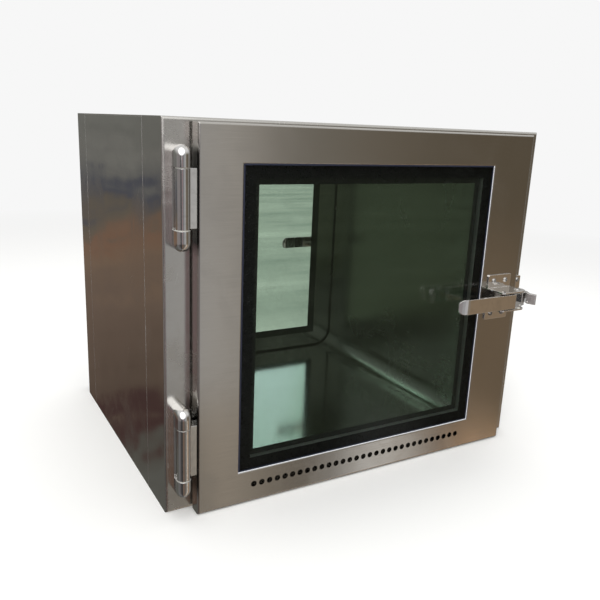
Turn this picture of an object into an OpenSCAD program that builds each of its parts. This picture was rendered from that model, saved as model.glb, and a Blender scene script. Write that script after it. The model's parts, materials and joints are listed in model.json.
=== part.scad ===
// Cleanroom pass box: a stainless cabinet with a coved chamber right through it and a glazed,
// latched door at each end.  Millimetres.  The origin is the centre of the base, X runs from the
// hinge side to the latch side, the front door faces -Y and Z is up.

/* [Cabinet] */
// Width of the cabinet on each side of the chamber
side_gap = 90; // [84:1:130]
// Depth between the front and rear faces
body_d = 500; // [440:1:700]
// Height of the cabinet above the chamber
roof_gap = 32.5; // [30:0.5:60]
// Thickness of the cabinet's sheet
sheet = 1.5; // [1:0.1:2.5]
// Outer radius of the bend between a face and its returns
bend_r = 4; // [3:0.5:8]
// Depth of the front frame's returns
front_return = 84; // [60:1:120]
// Depth of the rear frame's returns
rear_return = 64; // [50:1:110]
// Width of a panel's lap strip behind the frame's return
lap = 14; // [8:1:24]
// Width of a side panel's fold under the top and base panels
fold = 18; // [10:1:24]
// Gap between a flat panel's lap strip and the side panels' folds
lap_end_gap = 1; // [0.5:0.5:4]
// Seam left between a panel and a frame's return
seam = 0.6; // [0.3:0.1:1.5]

/* [Chamber] */
// Clear width of the chamber
chamber_w = 500; // [400:1:800]
// Clear height of the chamber
chamber_h = 500; // [400:1:800]
// Height of the chamber's floor above the base
floor_z = 32.5; // [30:0.5:40]
// Radius of the coved corners inside the chamber
cove_r = 40; // [20:1:60]
// Thickness of the chamber's liner
liner_t = 1.5; // [1:0.1:2.5]
// Gap left round the liner for its weld
weld_gap = 0.2; // [0.1:0.05:0.5]
// Distance of a stiffener's middle from the base panel's lap strip
stiffener_in = 50; // [40:1:70]
// Width of a stiffener's crown
stiffener_w = 40; // [24:1:50]
// Width of a stiffener's foot
stiffener_foot = 12; // [8:1:14]

/* [Door] */
// Strip of the cabinet's face left bare beside the door on the hinge side
hinge_strip = 39.5; // [36:0.5:44]
// Strip of the cabinet's face left bare beside the door on the latch side
latch_strip = 36; // [34:0.5:44]
// Height of the door's lower edge above the base
door_low = 1.5; // [1:0.5:6]
// Distance of the door's upper edge below the cabinet's top
door_high = 5; // [3:0.5:8]
// Thickness of the door
door_t = 21; // [20:0.5:26]
// Thickness of the door's sheet
door_sheet = 1.5; // [1:0.1:2]
// Outer radius of the door's folded edges
door_bend_r = 3; // [2.5:0.5:5]
// Gap between the door's back and the cabinet's face
seal_gap = 5.3; // [4.5:0.1:8]
// Depth of the fold round the door's backing pan
backing_fold = 6; // [4:0.5:8]
// Inner radius of the backing pan's bends
backing_inner_r = 0.5; // [0.2:0.1:1.5]

/* [Window] */
// Width of the door's face between its hinge edge and the cut-out
hinge_stile = 64.5; // [60:0.5:76]
// Gap between the latch brackets and the cut-out
latch_margin = 13.5; // [8:0.5:30]
// Height of the door's face above the cut-out
upper_rail = 51.5; // [46:0.5:60]
// Height of the door's face below the cut-out
lower_rail = 52; // [46:0.5:60]
// Radius of the fold round the cut-out
cut_bend_r = 1.5; // [1:0.25:2]
// Depth of the fold round the cut-out
cut_fold = 5; // [3:0.5:7]
// Gap between the cut-out and the glass, filled by the bead
glass_gap = 2; // [1.5:0.25:4]
// Thickness of one pane
pane_t = 5; // [4:0.5:6]
// Depth of the outer pane's surface behind the door's face
glass_recess = 0.5; // [0.2:0.1:1]
// Width of the black band round the outer pane
band_w = 18; // [14:0.5:24]
// Distance that the inner pane's black band reaches in past the outer pane's
inner_reach = 9; // [4:0.5:15]
// Thickness of each black band, on the side of its pane that faces the other pane
band_t = 0.4; // [0.3:0.1:1]
// Width of the aluminium spacer between the panes
spacer_w = 7; // [5:0.5:9]
// Width of the inner pane's edge that the door's backing covers
backing_lap = 12.5; // [9:0.5:14]

/* [Vents] */
// Least distance of the last vent hole from the door's latch edge
vent_end = 108; // [80:1:130]
// Distance between vent holes
vent_pitch = 13.5; // [12:0.25:14]
// Diameter of a vent hole
vent_d = 9.5; // [6:0.25:10]
// Distance of the first vent hole from the door's hinge edge
vent_start = 90.7; // [80:0.5:100]
// Height of the vent holes above the door's lower edge
vent_h = 28.5; // [22:0.5:32]

/* [Hinges] */
// Distance of the lower hinge's middle above the door's lower edge
hinge_low = 103; // [90:1:130]
// Distance of the upper hinge's middle below the door's upper edge
hinge_high = 97; // [90:1:130]
// Distance of the pin's axis from the door's hinge edge
pin_out = 20.5; // [19.5:0.25:22]
// Depth of the pin's axis behind the door's face
pin_deep = 1; // [0:0.25:3]
// Length of a hinge bracket
hinge_len = 138; // [120:1:150]
// Width of a hinge bracket
hinge_w = 21; // [19:0.5:22]
// Radius over which a hinge bracket's ends bend back to the cabinet
dome_r = 14; // [8:0.5:17]
// Length of a knuckle
knuckle_len = 78; // [60:1:84]
// Diameter of a knuckle
knuckle_d = 19.5; // [16:0.5:20]
// Gap between a knuckle's back and the bracket's web
web_gap = 1; // [0.6:0.1:2]
// Diameter of a hinge pin
pin_d = 8; // [6:0.5:10]
// Length of a hinge pin in the bracket's upper ear
pin_bite = 16; // [10:1:20]
// Thickness of a bearing washer
washer_t = 1; // [0.8:0.1:2]
// Difference between a washer's diameter and that of what bears on it
washer_step = 1; // [0.5:0.25:3]
// Play between a washer and what turns on it
play = 0.1; // [0.05:0.05:0.2]
// Thickness of the leaf that lies on the door's edge
leaf_t = 8; // [6:0.5:9]
// Depth of the leaf's front edge behind the door's face
leaf_set = 3; // [2:0.5:5]
// Thickness of the neck between a leaf and its knuckle
neck_t = 7; // [5:0.5:8]
// Distance of a leaf's screws behind its front edge
leaf_screw_in = 6; // [5:0.5:8]

/* [Latch] */
// Length of the latch brackets across the door
bracket_w = 53; // [46:1:60]
// Height of a latch bracket's plate
plate_h = 23; // [20:0.5:28]
// Thickness of the latch brackets
plate_t = 2.5; // [2:0.25:3]
// Distance of the latch brackets from the door's latch edge
bracket_in = 18.5; // [16:0.5:24]
// Distance that the ledges stand out from the door's face
ledge_out = 40; // [36:0.5:48]
// Distance from one ledge's outer face to the other's
ledge_span = 34; // [32:0.5:42]
// Distance between a bracket's screws
screw_pitch = 27; // [20:0.5:32]
// Distance of a latch bracket's screws beyond the middle of its plate
screw_rise = 1; // [0:0.25:2]
// Distance of the pivot pin from the door's latch edge
pivot_in = 26; // [25:0.5:30]
// Distance of the pivot pin from the door's face
pivot_out = 27; // [25:0.5:32]
// Diameter of the pivot pin
pivot_d = 8; // [6:0.5:9]
// Diameter of the pivot pin's heads
pivot_head_d = 12; // [10:0.5:14]
// Height of the pivot pin's heads
pivot_head_h = 2; // [1.5:0.25:3]
// Radius of the ledges round the pivot pin
ledge_r = 13; // [10:0.5:15]
// Radius of the latch brackets' corners
corner_r = 3; // [1:0.5:5]

/* [Lever] */
// Length of the lever from its free end to the pivot pin
lever_len = 140; // [110:1:180]
// Height of the lever
lever_h = 25; // [20:0.5:26]
// Thickness of the lever's sheet
lever_t = 3; // [2:0.25:3.5]
// Distance of the lever's face from the door's face
lever_out = 41.5; // [40:0.5:50]
// Reach of the cam nose beyond the pivot pin
nose_reach = 20.6; // [18:0.2:21]
// Length of the lever's curled free end
curl_len = 18; // [10:0.5:26]
// Distance that the free end curls back towards the door
curl_back = 6; // [2:0.5:10]
// Radius of the free end's corners
tip_r = 10; // [4:0.5:12]
// Distance of the lever's crease from the pivot pin
crease_in = 16; // [13:0.5:24]
// Length of the channel's flanges beside the pin
flange_len = 52; // [40:1:60]
// Radius of the channel's flanges round the pin
flange_r = 9; // [7:0.5:11]

/* [Strike] */
// Height of the strike's plate
strike_h = 54; // [44:1:66]
// Thickness of the strike's plate
strike_t = 3; // [2:0.5:4]
// Height of the strike's arm
arm_h = 18; // [14:0.5:24]
// Thickness of the strike's arm
arm_t = 5.5; // [4:0.5:6.5]
// Gap between the door's edge and the strike's arm
arm_gap = 3.5; // [2.5:0.25:5]
// Clearance between the cam nose and the strike's catch
catch_gap = 0.7; // [0.5:0.1:1.5]
// Distance that the catch stands out beyond the pivot pin
catch_out = 6; // [5:0.25:9]
// Distance from the catch to the end of its lead-in lip
lip_out = 10; // [8:0.5:18]
// Distance that the lip flares away from the door
lip_flare = 4; // [2:0.5:9]
// Distance of the arm's bend behind the pivot pin
arm_bend = 9; // [7:0.5:12]
// Distance between the strike's screws
strike_pitch = 39; // [32:0.5:48]
// Distance of the strike's plate from the cabinet's side
strike_in = 0.5; // [0.5:0.5:3]
// Distance of the strike's screws from its plate's outer edge
strike_screw_in = 8.5; // [7:0.5:12]

/* [Seal] */
// Distance of the seal from the chamber's edge
seal_land = 5; // [3:0.5:8]
// Width of the seal's base
seal_w = 12; // [8:0.5:14]
// Thickness of the seal's base
seal_base = 1.4; // [1:0.1:2]
// Thickness of the web between the seal's base and its bulb
seal_web = 2; // [1.5:0.1:3]
// Diameter of the seal's bulb
bulb_d = 4.8; // [4:0.1:6]
// Gap between the bulb and the cabinet's face
bulb_gap = 0.3; // [0.2:0.05:0.5]

/* [Fasteners] */
// Diameter of the small screws
screw_d = 4; // [3:0.5:4.5]
// Diameter of a small screw's head
head_d = 8.5; // [7:0.5:9]
// Height of a small screw's head
head_h = 2.8; // [2:0.1:3.2]
// Height of the straight rim of a small screw's head
head_rim = 0.9; // [0.5:0.1:1.2]
// Length of a small screw under its head
screw_len = 7; // [6:0.5:8]
// Width of a screw's socket
socket_d = 3.2; // [2.5:0.1:4]
// Diameter of the hinge bracket's screws
bolt_d = 6; // [5:0.5:7]
// Length of a hinge bracket's screw under its head
bolt_len = 12; // [9:0.5:14]
// Width across the corners of a hinge bracket's screw's head
bolt_head_d = 11; // [10:0.25:13]
// Height of a hinge bracket's screw's head
bolt_head_h = 4; // [3:0.25:5]
// Distance between a hinge bracket's two screws
bolt_pitch = 60; // [40:1:70]
// Distance between a leaf's two screws
leaf_pitch = 50; // [30:1:56]
// Radial clearance of a screw in its hole
screw_fit = 0.2; // [0.1:0.05:0.4]
// Radial clearance of a pin in its bore
pin_fit = 0.05; // [0.02:0.01:0.1]
// Gap left beyond the end of a pin or a screw in a blind hole
end_gap = 0.1; // [0.05:0.05:0.5]
// Thickness of the plate that the latch brackets' screws bite in
anchor_t = 3; // [2:0.25:4]

/* [Hidden] */
$fn = 48;
eps = 1;                                   // overshoot of a cutting tool
end_step = 30;                             // angle between the points of a strip's round end
STEEL = [0.66, 0.65, 0.63];
LINER = [0.70, 0.71, 0.70];
CHROME = [0.82, 0.83, 0.84];
BLACK = [0.04, 0.04, 0.04];
GLASS = [0.45, 0.58, 0.52, 0.35];
ALU = [0.74, 0.76, 0.75];
NYLON = [0.88, 0.88, 0.85];

// cabinet
body_w = chamber_w + 2 * side_gap;
body_h = floor_z + chamber_h + roof_gap;
face_y = -body_d / 2;
front_seam_y = face_y + front_return;
rear_seam_y = body_d / 2 - rear_return;
mid_d = rear_seam_y - front_seam_y - 2 * seam;
lap_x = body_w / 2 - fold - lap_end_gap;   // half width of a flat panel's lap strip
chamber_mid_z = floor_z + chamber_h / 2;
stiffener_h = floor_z - liner_t - sheet;
stiffener_len = chamber_w - 2 * cove_r;
stiffener_ys = [front_seam_y + lap + stiffener_in, rear_seam_y - lap - stiffener_in];

// door
door_w = body_w - hinge_strip - latch_strip;
door_h = body_h - door_low - door_high;
door_x = hinge_strip - body_w / 2;         // hinge edge
door_end_x = door_x + door_w;              // latch edge
door_mid_x = door_x + door_w / 2;
door_top = door_low + door_h;
back_y = face_y - seal_gap;                // back of the door
front_y = back_y - door_t;                 // face of the door
backing_w = door_w - 2 * (door_sheet + weld_gap);
backing_h = door_h - 2 * (door_sheet + weld_gap);
latch_stile = bracket_in + bracket_w + latch_margin;
window_w = door_w - hinge_stile - latch_stile;
window_h = door_h - lower_rail - upper_rail;
window_x = door_x + hinge_stile + window_w / 2;
window_z = door_low + lower_rail + window_h / 2;
glass_w = window_w - 2 * glass_gap;
glass_h = window_h - 2 * glass_gap;
outer_pane_y = front_y + glass_recess;
band_y = outer_pane_y + pane_t;
inner_pane_y = back_y - door_sheet - pane_t;
vent_count = floor((door_w - vent_start - vent_end) / vent_pitch) + 1;

// seal
seal_mid = seal_land + seal_w / 2;         // from the chamber's edge to the seal's middle
bulb_y = face_y - bulb_gap - bulb_d / 2;
bulb_r = cove_r + seal_mid;

// hinges
pin_x = door_x - pin_out;
pin_y = front_y + pin_deep;
upper_hinge_z = door_top - hinge_high;
lower_hinge_z = door_low + hinge_low;
web_y = pin_y + knuckle_d / 2 + web_gap;
slot_len = knuckle_len + 2 * (washer_t + play);
leaf_x = door_x - leaf_t;
leaf_y = front_y + leaf_set;
leaf_screw_y = leaf_y + leaf_screw_in;
dome_back = dome_r - hinge_w / 2;          // middle of the dome's bend behind the pin's axis
dome_in = max(dome_back + pin_d / 2, 0);
dome_side = hinge_w / 2 - sqrt(pow(hinge_w / 2, 2) - pow(pin_d / 2, 2));
dome_rise = dome_r - sqrt(pow(dome_r - dome_side, 2) - pow(dome_in, 2));
pin_base = dome_rise + end_gap - hinge_len / 2;
pin_top = slot_len / 2 + pin_bite;

// latch
latch_z = body_h / 2;
bracket_x = door_end_x - bracket_in - bracket_w / 2;
pivot_x = door_end_x - pivot_in;
pivot_y = front_y - pivot_out;
ledge_clear = ledge_span / 2 - plate_t;
washer_gap = ledge_clear - lever_h / 2;
screw_z = ledge_span / 2 + plate_h / 2 + screw_rise;

// lever
lever_y = front_y - lever_out + lever_t / 2;
free_x = pivot_x - lever_len + lever_t / 2;
nose_x = pivot_x + nose_reach - lever_t / 2;

// strike
arm_x = door_end_x + arm_gap + arm_t / 2;
strike_x = door_end_x + arm_gap;
strike_end_x = body_w / 2 - strike_in;
strike_screw_x = strike_end_x - strike_screw_in;
catch_x = pivot_x + nose_reach + catch_gap + arm_t / 2;
catch_y = pivot_y - catch_out;

// ---------------------------------------------------------------- shapes used by several pieces

// A rectangle centred on the origin with rounded corners
module rounded_rect(w, h, r) {
    square([w - 2 * r, h], center = true);
    square([w, h - 2 * r], center = true);
    for (x = [r - w / 2, w / 2 - r], y = [r - h / 2, h / 2 - r])
        translate([x, y])
            circle(r);
}

// The outline of a folded pan seen along its fold: w across, d deep, the corners at y = 0 rounded
module pan_outline(w, d, r) {
    translate([-w / 2, r])
        square([w, d - r]);
    translate([r - w / 2, 0])
        square([w - 2 * r, d]);
    for (x = [r - w / 2, w / 2 - r])
        translate([x, r])
            circle(r);
}

// The outline of a cut-out whose edges fold inwards round a bend of radius r
module flared_outline(w, d, r) {
    translate([-w / 2, -eps])
        square([w, d + 2 * eps]);
    difference() {
        translate([-w / 2 - r, -eps])
            square([w + 2 * r, r + eps]);
        for (x = [-w / 2 - r, w / 2 + r])
            translate([x, r])
                circle(r);
    }
}

// The unit normals of the stretches between the points
function stretch_normals(points) = [
    for (i = [1 : len(points) - 1])
        let (step = points[i] - points[i - 1])
            [-step[1], step[0]] / norm(step),
];

// The points of a line beside the given one at distance d, mitred at its bends
function beside(points, d) =
    let (n = stretch_normals(points), last = len(points) - 1)
        [for (i = [0 : last])
            let (before = n[max(i - 1, 0)], after = n[min(i, last - 1)])
                points[i] + d * (before + after) / (1 + before * after)];

// The points of a round end of thickness t, from start_angle through half a turn
function round_end(centre, start_angle, t) = [
    for (turn = [end_step : end_step : 180 - end_step])
        centre + t / 2 * [cos(start_angle + turn), sin(start_angle + turn)],
];

// A strip of thickness t with round ends whose middle runs through the points
module strip(points, t) {
    n = stretch_normals(points);
    last = len(points) - 1;
    far_angle = atan2(-n[last - 1][1], -n[last - 1][0]);
    near_angle = atan2(n[0][1], n[0][0]);
    polygon(concat(
        beside(points, -t / 2),
        round_end(points[last], far_angle, t),
        [for (i = [last : -1 : 0]) beside(points, t / 2)[i]],
        round_end(points[0], near_angle, t)
    ));
}

// Extrudes an outline drawn in X and Z from y0 to y1
module along_y(y0, y1) {
    translate([0, y1, 0])
        rotate([90, 0, 0])
            linear_extrude(y1 - y0)
                children();
}

// Extrudes an outline drawn in Y and Z along X, centred on x = 0
module along_x(w) {
    translate([-w / 2, 0, 0])
        rotate([90, 0, 90])
            linear_extrude(w)
                children();
}

// A block centred on x = 0 and z = 0 whose face at y = 0 has all four edges bent back
module folded_block(w, d, h, r) {
    intersection() {
        translate([0, 0, -h / 2])
            linear_extrude(h)
                pan_outline(w, d, r);
        along_x(w)
            mirror([1, -1])
                pan_outline(h, d, r);
    }
}

// A sheet pan of thickness t, open at its back
module folded_pan(w, d, h, r, t) {
    difference() {
        folded_block(w, d, h, r);
        translate([0, t, 0])
            folded_block(w - 2 * t, d, h - 2 * t, r - t);
    }
}

// The tool for a cut-out with folded edges
module flared_cut(w, d, h, r) {
    intersection() {
        translate([0, 0, -h / 2 - r])
            linear_extrude(h + 2 * r)
                flared_outline(w, d, r);
        along_x(w + 2 * r)
            mirror([1, -1])
                flared_outline(h, d, r);
    }
}

// A flat ring in X and Z round the middle of the window
module window_ring(outer_w, outer_h, inner_w, inner_h) {
    translate([window_x, window_z])
        difference() {
            square([outer_w, outer_h], center = true);
            square([inner_w, inner_h], center = true);
        }
}

// The chamber's outline in X and Z, grown by some distance
module chamber_outline(grow) {
    translate([0, chamber_mid_z])
        rounded_rect(chamber_w + 2 * grow, chamber_h + 2 * grow, cove_r + grow);
}

// A socket screw standing on z = 0 with its shank below
module screw(shank) {
    cap = head_h - head_rim;
    cap_r = (pow(head_d / 2, 2) + pow(cap, 2)) / (2 * cap);
    difference() {
        union() {
            translate([0, 0, -shank])
                cylinder(d = screw_d, h = shank + head_rim);
            cylinder(d = head_d, h = head_rim);
            intersection() {
                translate([0, 0, head_rim])
                    cylinder(d = head_d, h = cap);
                translate([0, 0, head_h - cap_r])
                    sphere(cap_r);
            }
        }
        translate([0, 0, head_rim])
            cylinder(d = socket_d, h = head_h, $fn = 6);
    }
}

// A straight hole along Y from y0 to y1
module hole_y(x, z, d, y0, y1) {
    translate([x, y1, z])
        rotate([90, 0, 0])
            cylinder(d = d, h = y1 - y0);
}

// Turns a front piece into the rear door's one
module at_rear() {
    mirror([0, 1, 0])
        children();
}

// Turns an upper latch piece into the lower one
module latch_below() {
    translate([0, 0, 2 * latch_z])
        mirror([0, 0, 1])
            children();
}

// ---------------------------------------------------------------- cabinet

// A frame: the folded face round the chamber with its four returns
module frame_pan(depth) {
    difference() {
        translate([0, face_y, body_h / 2])
            folded_pan(body_w, depth, body_h, bend_r, sheet);
        along_y(face_y - eps, face_y + sheet + eps)
            chamber_outline(liner_t + weld_gap);
        for (hinge_z = [lower_hinge_z, upper_hinge_z], z = [-bolt_pitch / 2, bolt_pitch / 2])
            hole_y(pin_x, hinge_z + z, bolt_d + 2 * screw_fit, face_y - eps, face_y + sheet + eps);
        for (z = [-strike_pitch / 2, strike_pitch / 2])
            hole_y(strike_screw_x, latch_z + z, screw_d + 2 * pin_fit,
                face_y - eps, face_y + sheet + eps);
    }
}

// The left side panel: a sheet folded over at top and bottom, lapped behind both frames
module side_sheet() {
    translate([-body_w / 2, front_seam_y + seam, sheet])
        cube([sheet, mid_d, body_h - 2 * sheet]);
    for (y = [front_seam_y - lap, rear_seam_y - lap])
        translate([sheet - body_w / 2, y, sheet])
            cube([sheet, 2 * lap, body_h - 2 * sheet]);
    for (z = [sheet, body_h - 2 * sheet])
        translate([-body_w / 2, front_seam_y + seam, z])
            cube([fold, mid_d, sheet]);
}

// The top panel: a flat sheet that lies on the side panels' folds, lapped behind both frames
module flat_sheet() {
    translate([-body_w / 2, front_seam_y + seam, body_h - sheet])
        cube([body_w, mid_d, sheet]);
    for (y = [front_seam_y - lap, rear_seam_y - lap])
        translate([-lap_x, y, body_h - 2 * sheet])
            cube([2 * lap_x, 2 * lap, sheet]);
}

// A hat section that carries the chamber's floor on the base panel
module hat_outline() {
    translate([-stiffener_w / 2, stiffener_h - sheet])
        square([stiffener_w, sheet]);
    for (side = [0, 1])
        mirror([side, 0]) {
            translate([stiffener_w / 2 - sheet, 0])
                square([sheet, stiffener_h]);
            translate([stiffener_w / 2 - sheet, 0])
                square([sheet + stiffener_foot, sheet]);
        }
}

module left_side_panel() {
    color(STEEL)
        side_sheet();
}

module right_side_panel() {
    color(STEEL)
        mirror([1, 0, 0])
            side_sheet();
}

module top_panel() {
    color(STEEL)
        flat_sheet();
}

module base_panel() {
    color(STEEL)
        translate([0, 0, body_h])
            mirror([0, 0, 1])
                flat_sheet();
}

module front_frame() {
    color(STEEL)
        frame_pan(front_return);
}

module rear_frame() {
    color(STEEL)
        at_rear()
            frame_pan(rear_return);
}

module chamber_liner() {
    color(LINER)
        along_y(face_y, -face_y)
            difference() {
                chamber_outline(liner_t);
                chamber_outline(0);
            }
}

module floor_stiffeners() {
    color(STEEL)
        for (y = stiffener_ys)
            translate([0, y, sheet])
                along_x(stiffener_len)
                    hat_outline();
}

// ---------------------------------------------------------------- door

// The door's face, its folded edges, the folded cut-out and the vent holes
module door_skin() {
    difference() {
        union() {
            translate([door_mid_x, front_y, door_low + door_h / 2])
                folded_pan(door_w, door_t, door_h, door_bend_r, door_sheet);
            along_y(front_y + door_sheet / 2, front_y + cut_fold)
                window_ring(window_w + 2 * door_sheet, window_h + 2 * door_sheet,
                    window_w - eps, window_h - eps);
        }
        translate([window_x, front_y, window_z])
            flared_cut(window_w, cut_fold, window_h, cut_bend_r);
        for (i = [0 : vent_count - 1])
            hole_y(door_x + vent_start + i * vent_pitch, door_low + vent_h, vent_d,
                front_y - eps, front_y + door_sheet + eps);
        for (x = [-screw_pitch / 2, screw_pitch / 2], z = [-screw_z, screw_z])
            hole_y(bracket_x + x, latch_z + z, screw_d + 2 * screw_fit,
                front_y - eps, front_y + door_sheet + eps);
        for (hinge_z = [lower_hinge_z, upper_hinge_z], z = [-leaf_pitch / 2, leaf_pitch / 2])
            translate([door_x - eps, leaf_screw_y, hinge_z + z])
                rotate([0, 90, 0])
                    cylinder(d = screw_d + 2 * screw_fit, h = door_sheet + 2 * eps);
    }
}

// The pan that closes the door's back and that the glass rests against
module door_backing() {
    difference() {
        translate([door_mid_x, back_y, door_low + door_h / 2])
            mirror([0, 1, 0])
                folded_pan(backing_w, backing_fold, backing_h,
                    door_sheet + backing_inner_r, door_sheet);
        along_y(back_y - door_sheet - eps, back_y + eps)
            translate([window_x, window_z])
                square([glass_w - 2 * backing_lap, glass_h - 2 * backing_lap], center = true);
    }
}

// One pane of the double glazing, its outer surface at y
module pane(y) {
    along_y(y, y + pane_t)
        translate([window_x, window_z])
            square([glass_w, glass_h], center = true);
}

// The aluminium spacer that holds the panes apart
module pane_spacer() {
    along_y(band_y + band_t, inner_pane_y - band_t)
        window_ring(glass_w - 2 * (band_w - spacer_w), glass_h - 2 * (band_w - spacer_w),
            glass_w - 2 * band_w, glass_h - 2 * band_w);
}

// The black band on each pane and the sealant round the spacer
module edge_seal() {
    along_y(band_y, band_y + band_t)
        window_ring(glass_w, glass_h, glass_w - 2 * band_w, glass_h - 2 * band_w);
    along_y(band_y + band_t / 2, inner_pane_y - band_t / 2)
        window_ring(glass_w, glass_h,
            glass_w - 2 * (band_w - spacer_w), glass_h - 2 * (band_w - spacer_w));
    along_y(inner_pane_y - band_t, inner_pane_y)
        window_ring(glass_w, glass_h,
            glass_w - 2 * (band_w + inner_reach), glass_h - 2 * (band_w + inner_reach));
}

// The bead between the outer pane's edge and the cut-out
module glazing_bead() {
    along_y(outer_pane_y, band_y)
        window_ring(window_w, window_h, glass_w, glass_h);
}

// The bulb of the door's seal: four straight runs joined by bends round the chamber's corners
module seal_bulb() {
    run_x = chamber_w / 2 - cove_r;
    run_z = chamber_h / 2 - cove_r;
    for (turn = [0, 180])
        rotate([0, turn, 0]) {
            translate([-run_x, 0, run_z + bulb_r])
                rotate([0, 90, 0])
                    cylinder(d = bulb_d, h = 2 * run_x);
            translate([run_x + bulb_r, 0, -run_z])
                cylinder(d = bulb_d, h = 2 * run_z);
        }
    for (x = [0, 1], z = [0, 1])
        mirror([x, 0, 0])
            mirror([0, 0, z])
                translate([run_x, 0, run_z])
                    rotate([90, 0, 0])
                        rotate_extrude(angle = 90)
                            translate([bulb_r, 0])
                                circle(d = bulb_d);
}

// The seal on the door's back: a flat base, a web and a round bulb
module door_seal() {
    along_y(back_y, back_y + seal_base)
        difference() {
            chamber_outline(seal_land + seal_w);
            chamber_outline(seal_land);
        }
    along_y(back_y, bulb_y)
        difference() {
            chamber_outline(seal_mid + seal_web / 2);
            chamber_outline(seal_mid - seal_web / 2);
        }
    translate([0, bulb_y, chamber_mid_z])
        seal_bulb();
}

// ---------------------------------------------------------------- hinges

// A bracket's outline from above: round in front of the pin and straight back to the cabinet
module ear_outline() {
    circle(d = hinge_w);
    translate([-hinge_w / 2, 0])
        square([hinge_w, face_y - pin_y]);
}

// The upper half of a bracket: its round front runs up, bends over and runs back to the cabinet
module bent_ear() {
    round_z = (hinge_len - hinge_w) / 2;
    linear_extrude(hinge_len / 2 - dome_r)
        ear_outline();
    translate([0, dome_back, hinge_len / 2 - dome_r])
        rotate([180, 0, 0])
            rotate([0, 90, 0])
                rotate_extrude(angle = 90) {
                    intersection() {
                        translate([dome_back, 0])
                            circle(d = hinge_w);
                        translate([0, -hinge_w / 2])
                            square([dome_r, hinge_w]);
                    }
                    if (dome_back > 0)
                        translate([0, -hinge_w / 2])
                            square([dome_back, hinge_w]);
                }
    along_y(dome_back, face_y - pin_y) {
        translate([0, round_z])
            circle(d = hinge_w);
        translate([-hinge_w / 2, 0])
            square([hinge_w, round_z]);
    }
}

// A bracket on the cabinet's face: two domed ears round the pin and a web behind the knuckle
module hinge_bracket(hinge_z) {
    bite = bolt_len - sheet + end_gap;
    translate([pin_x, pin_y, hinge_z])
        difference() {
            for (side = [0, 1])
                mirror([0, 0, side])
                    intersection() {
                        linear_extrude(hinge_len)
                            ear_outline();
                        bent_ear();
                    }
            translate([-hinge_w, -hinge_w, -slot_len / 2])
                cube([2 * hinge_w, hinge_w + web_y - pin_y, slot_len]);
            translate([0, 0, -hinge_len])
                cylinder(d = pin_d + 2 * pin_fit, h = hinge_len + pin_top + end_gap);
            for (z = [-bolt_pitch / 2, bolt_pitch / 2])
                hole_y(0, z, bolt_d + 2 * pin_fit, face_y - pin_y - bite, face_y - pin_y + eps);
        }
}

// The pin that runs through a bracket and its knuckle
module hinge_pin(hinge_z) {
    translate([pin_x, pin_y, hinge_z + pin_base])
        cylinder(d = pin_d, h = pin_top - pin_base);
}

// The knuckle with the leaf that is screwed to the door's edge
module hinge_leaf(hinge_z) {
    translate([0, 0, hinge_z - knuckle_len / 2])
        difference() {
            union() {
                translate([pin_x, pin_y, 0])
                    cylinder(d = knuckle_d, h = knuckle_len);
                translate([pin_x, leaf_y, 0])
                    cube([pin_out - leaf_t / 2, neck_t, knuckle_len]);
                translate([leaf_x, leaf_y, 0])
                    cube([leaf_t, back_y - leaf_y, knuckle_len]);
            }
            translate([pin_x, pin_y, -eps])
                cylinder(d = pin_d + 2 * pin_fit, h = knuckle_len + 2 * eps);
            for (z = [-leaf_pitch / 2, leaf_pitch / 2])
                translate([door_x + door_sheet - screw_len - end_gap, leaf_screw_y, knuckle_len / 2 + z])
                    rotate([0, 90, 0])
                        cylinder(d = screw_d + 2 * pin_fit, h = screw_len);
        }
}

// The washers that carry the two knuckles
module hinge_washers() {
    for (hinge_z = [lower_hinge_z, upper_hinge_z], side = [0, 1])
        translate([pin_x, pin_y, hinge_z])
            mirror([0, 0, side])
                translate([0, 0, slot_len / 2 - washer_t])
                    difference() {
                        cylinder(d = knuckle_d - washer_step, h = washer_t);
                        translate([0, 0, -eps])
                            cylinder(d = pin_d + 2 * pin_fit, h = washer_t + 2 * eps);
                    }
}

// The bolts that hold the hinge brackets from inside the frame
module bracket_screws() {
    for (hinge_z = [lower_hinge_z, upper_hinge_z], z = [-bolt_pitch / 2, bolt_pitch / 2])
        translate([pin_x, face_y + sheet, hinge_z + z])
            rotate([-90, 0, 0]) {
                translate([0, 0, -bolt_len])
                    cylinder(d = bolt_d, h = bolt_len + bolt_head_h / 2);
                cylinder(d = bolt_head_d, h = bolt_head_h, $fn = 6);
            }
}

// The screws that hold the leaves from inside the door
module leaf_screws() {
    for (hinge_z = [lower_hinge_z, upper_hinge_z], z = [-leaf_pitch / 2, leaf_pitch / 2])
        translate([door_x + door_sheet, leaf_screw_y, hinge_z + z])
            rotate([0, 90, 0])
                screw(screw_len);
}

// ---------------------------------------------------------------- latch

// The upper latch bracket: a plate on the door folded out into a ledge that holds the pivot pin
module latch_bracket() {
    translate([0, 0, latch_z])
        difference() {
            union() {
                along_y(front_y - plate_t, front_y)
                    translate([bracket_x, ledge_clear + (plate_h + plate_t) / 2])
                        rounded_rect(bracket_w, plate_h + plate_t, corner_r);
                translate([0, 0, ledge_clear])
                    linear_extrude(plate_t) {
                        translate([bracket_x, front_y - ledge_out])
                            pan_outline(bracket_w, ledge_out, 2 * corner_r);
                        translate([pivot_x, pivot_y])
                            circle(ledge_r);
                    }
            }
            for (x = [-screw_pitch / 2, screw_pitch / 2])
                hole_y(bracket_x + x, screw_z, screw_d + 2 * screw_fit,
                    front_y - plate_t - eps, front_y + eps);
            translate([pivot_x, pivot_y, ledge_clear - eps])
                cylinder(d = pivot_d + 2 * pin_fit, h = plate_t + 2 * eps);
        }
}

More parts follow.
